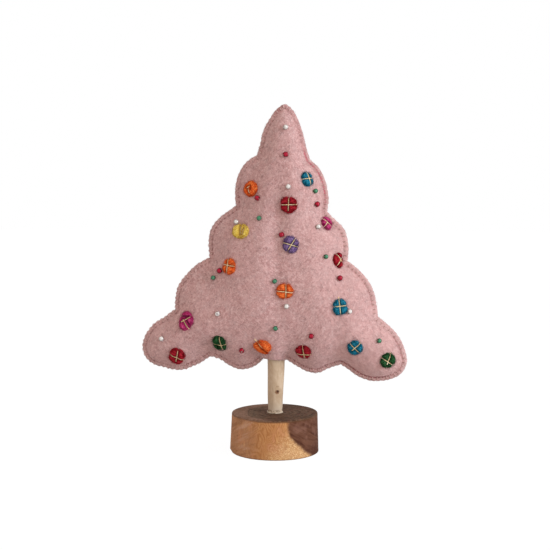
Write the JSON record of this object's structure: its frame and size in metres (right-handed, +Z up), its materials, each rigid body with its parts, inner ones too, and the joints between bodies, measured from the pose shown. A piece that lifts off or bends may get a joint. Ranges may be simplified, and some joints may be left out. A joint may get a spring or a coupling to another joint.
{
  "type": "felt christmas tree",
  "caption": "Stuffed felt christmas tree with scalloped sides, sewn-on felt dots and beads, on a wooden stick in a round wooden base.",
  "frame": {"origin": "middle of the base's underside, on the surface that the tree stands on", "axes": "+Z up along the stick, -Y towards the decorated front, +X to the right of someone who looks at the front; the seam of the felt lies in the plane y = 0"},
  "size_m": [0.2344, 0.0774, 0.3058],
  "materials": {
    "base_wood": "satin",
    "stick_wood": "matte",
    "dried_glue": "satin",
    "stuffing_fibre": "matte",
    "pink_felt": "matte",
    "pink_thread": "matte",
    "teal_felt": "matte",
    "orange_felt": "matte",
    "red_felt": "matte",
    "magenta_felt": "matte",
    "yellow_felt": "matte",
    "purple_felt": "matte",
    "green_felt": "matte",
    "white_bead": "gloss",
    "red_bead": "gloss",
    "green_bead": "gloss"
  },
  "bodies": {
    "root": {"base_block": "base_wood", "trunk_stick": "stick_wood", "glue_ring": "dried_glue", "stuffing": "stuffing_fibre", "front_panel": "pink_felt", "back_panel": "pink_felt", "edge_stitching": "pink_thread", "dot_teal_1": "teal_felt", "dot_orange_1": "orange_felt", "dot_red_1": "red_felt", "dot_magenta_1": "magenta_felt", "dot_yellow": "yellow_felt", "dot_purple": "purple_felt", "dot_red_2": "red_felt", "dot_orange_2": "orange_felt", "dot_orange_3": "orange_felt", "dot_teal_2": "teal_felt", "dot_magenta_2": "magenta_felt", "dot_green_1": "green_felt", "dot_orange_4": "orange_felt", "dot_red_3": "red_felt", "dot_red_4": "red_felt", "dot_teal_3": "teal_felt", "dot_green_2": "green_felt", "bead_white_1": "white_bead", "bead_white_2": "white_bead", "bead_white_3": "white_bead", "bead_white_4": "white_bead", "bead_white_5": "white_bead", "bead_white_6": "white_bead", "bead_white_7": "white_bead", "bead_white_8": "white_bead", "bead_red_1": "red_bead", "bead_red_2": "red_bead", "bead_red_3": "red_bead", "bead_red_4": "red_bead", "bead_red_5": "red_bead", "bead_red_6": "red_bead", "bead_red_7": "red_bead", "bead_red_8": "red_bead", "bead_green_1": "green_bead", "bead_green_2": "green_bead", "bead_green_3": "green_bead", "bead_green_4": "green_bead", "bead_green_5": "green_bead", "bead_green_6": "green_bead", "bead_green_7": "green_bead"}
  },
  "joints": []
}
